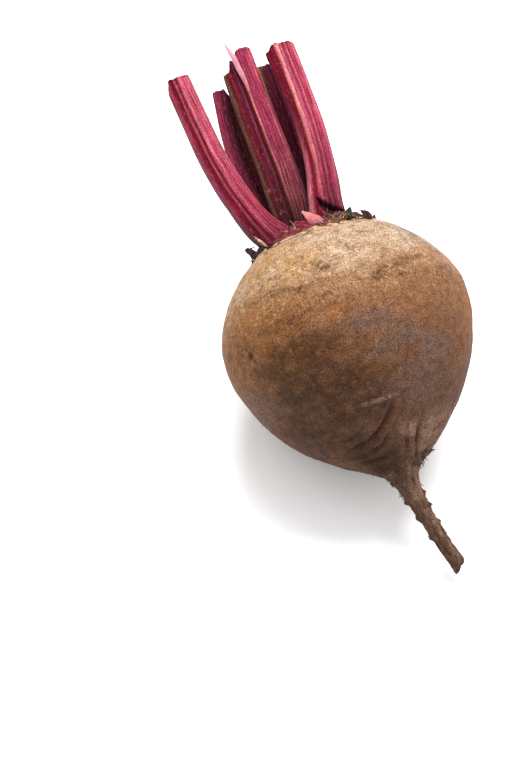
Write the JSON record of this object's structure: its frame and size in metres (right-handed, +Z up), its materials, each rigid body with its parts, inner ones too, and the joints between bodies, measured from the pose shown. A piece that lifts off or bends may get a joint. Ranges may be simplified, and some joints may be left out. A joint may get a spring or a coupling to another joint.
{
  "type": "beetroot",
  "caption": "Whole fresh beetroot lying on its side: round earthy root with a thin bent tail, knobbly crown and short-cut ribbed leaf stalks.",
  "frame": {"origin": "on the small flat spot that the beetroot rests on, straight below the middle of the bulb, at the surface", "axes": "+Z up; +Y along the surface from the tail towards the cut leaf stalks; +X across"},
  "size_m": [0.0794, 0.1656, 0.0856],
  "materials": {
    "skin": "dry, corky and earthy, tan at the shoulder and grey-brown below",
    "crown_flesh": "moist magenta flesh with dry brown leaf bases",
    "stalk_rose": "satin, rose ribs with crimson grooves",
    "stalk_crimson": "satin, crimson with an olive margin",
    "stalk_purple": "satin, dark purple-red"
  },
  "bodies": {
    "root": {"root": "skin", "crown": "crown_flesh", "stalk_left": "stalk_rose", "stalk_back_left": "stalk_purple", "stalk_middle": "stalk_crimson", "stalk_back_right": "stalk_purple", "stalk_right": "stalk_rose"}
  },
  "joints": []
}
